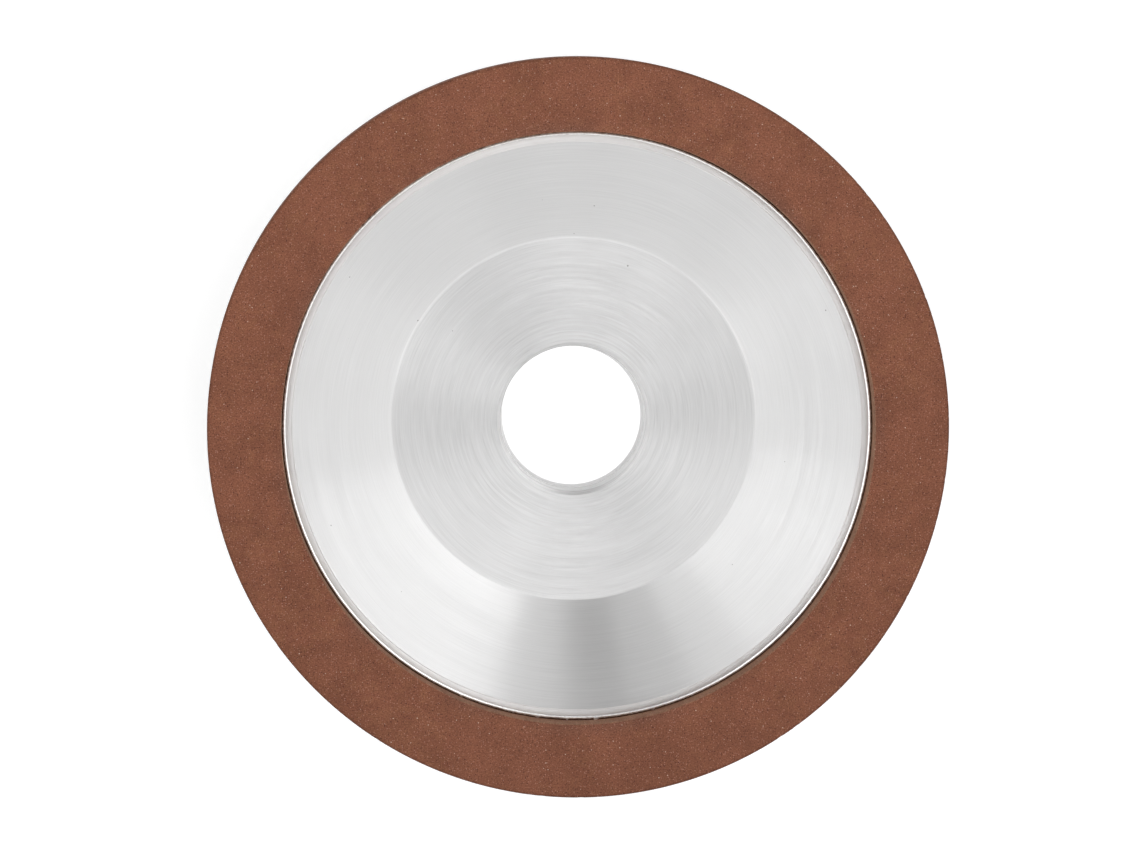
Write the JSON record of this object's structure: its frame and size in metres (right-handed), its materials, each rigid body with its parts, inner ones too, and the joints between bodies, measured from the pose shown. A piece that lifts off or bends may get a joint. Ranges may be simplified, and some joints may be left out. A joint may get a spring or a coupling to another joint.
{
  "type": "diamond cup grinding wheel",
  "caption": "Cup-shaped grinding wheel: resin-bonded diamond rim on a turned aluminium body with a conical cup wall, a flat clamping floor and a plain chamfered bore.",
  "frame": {"origin": "centre of the bore on the back clamping face, which is the lowest plane of the wheel", "axes": "+Z along the wheel's axis, from the back clamping face towards the grinding face; X and Y are equivalent"},
  "size_m": [0.1, 0.1, 0.025],
  "materials": {
    "turned_aluminium": "satin",
    "diamond_resin": "matte",
    "backing_resin": "matte",
    "adhesive": "satin"
  },
  "bodies": {
    "root": {"wheel_body": "turned_aluminium", "diamond_rim": "diamond_resin", "rim_backing": "backing_resin", "rim_bond": "adhesive"}
  },
  "joints": []
}
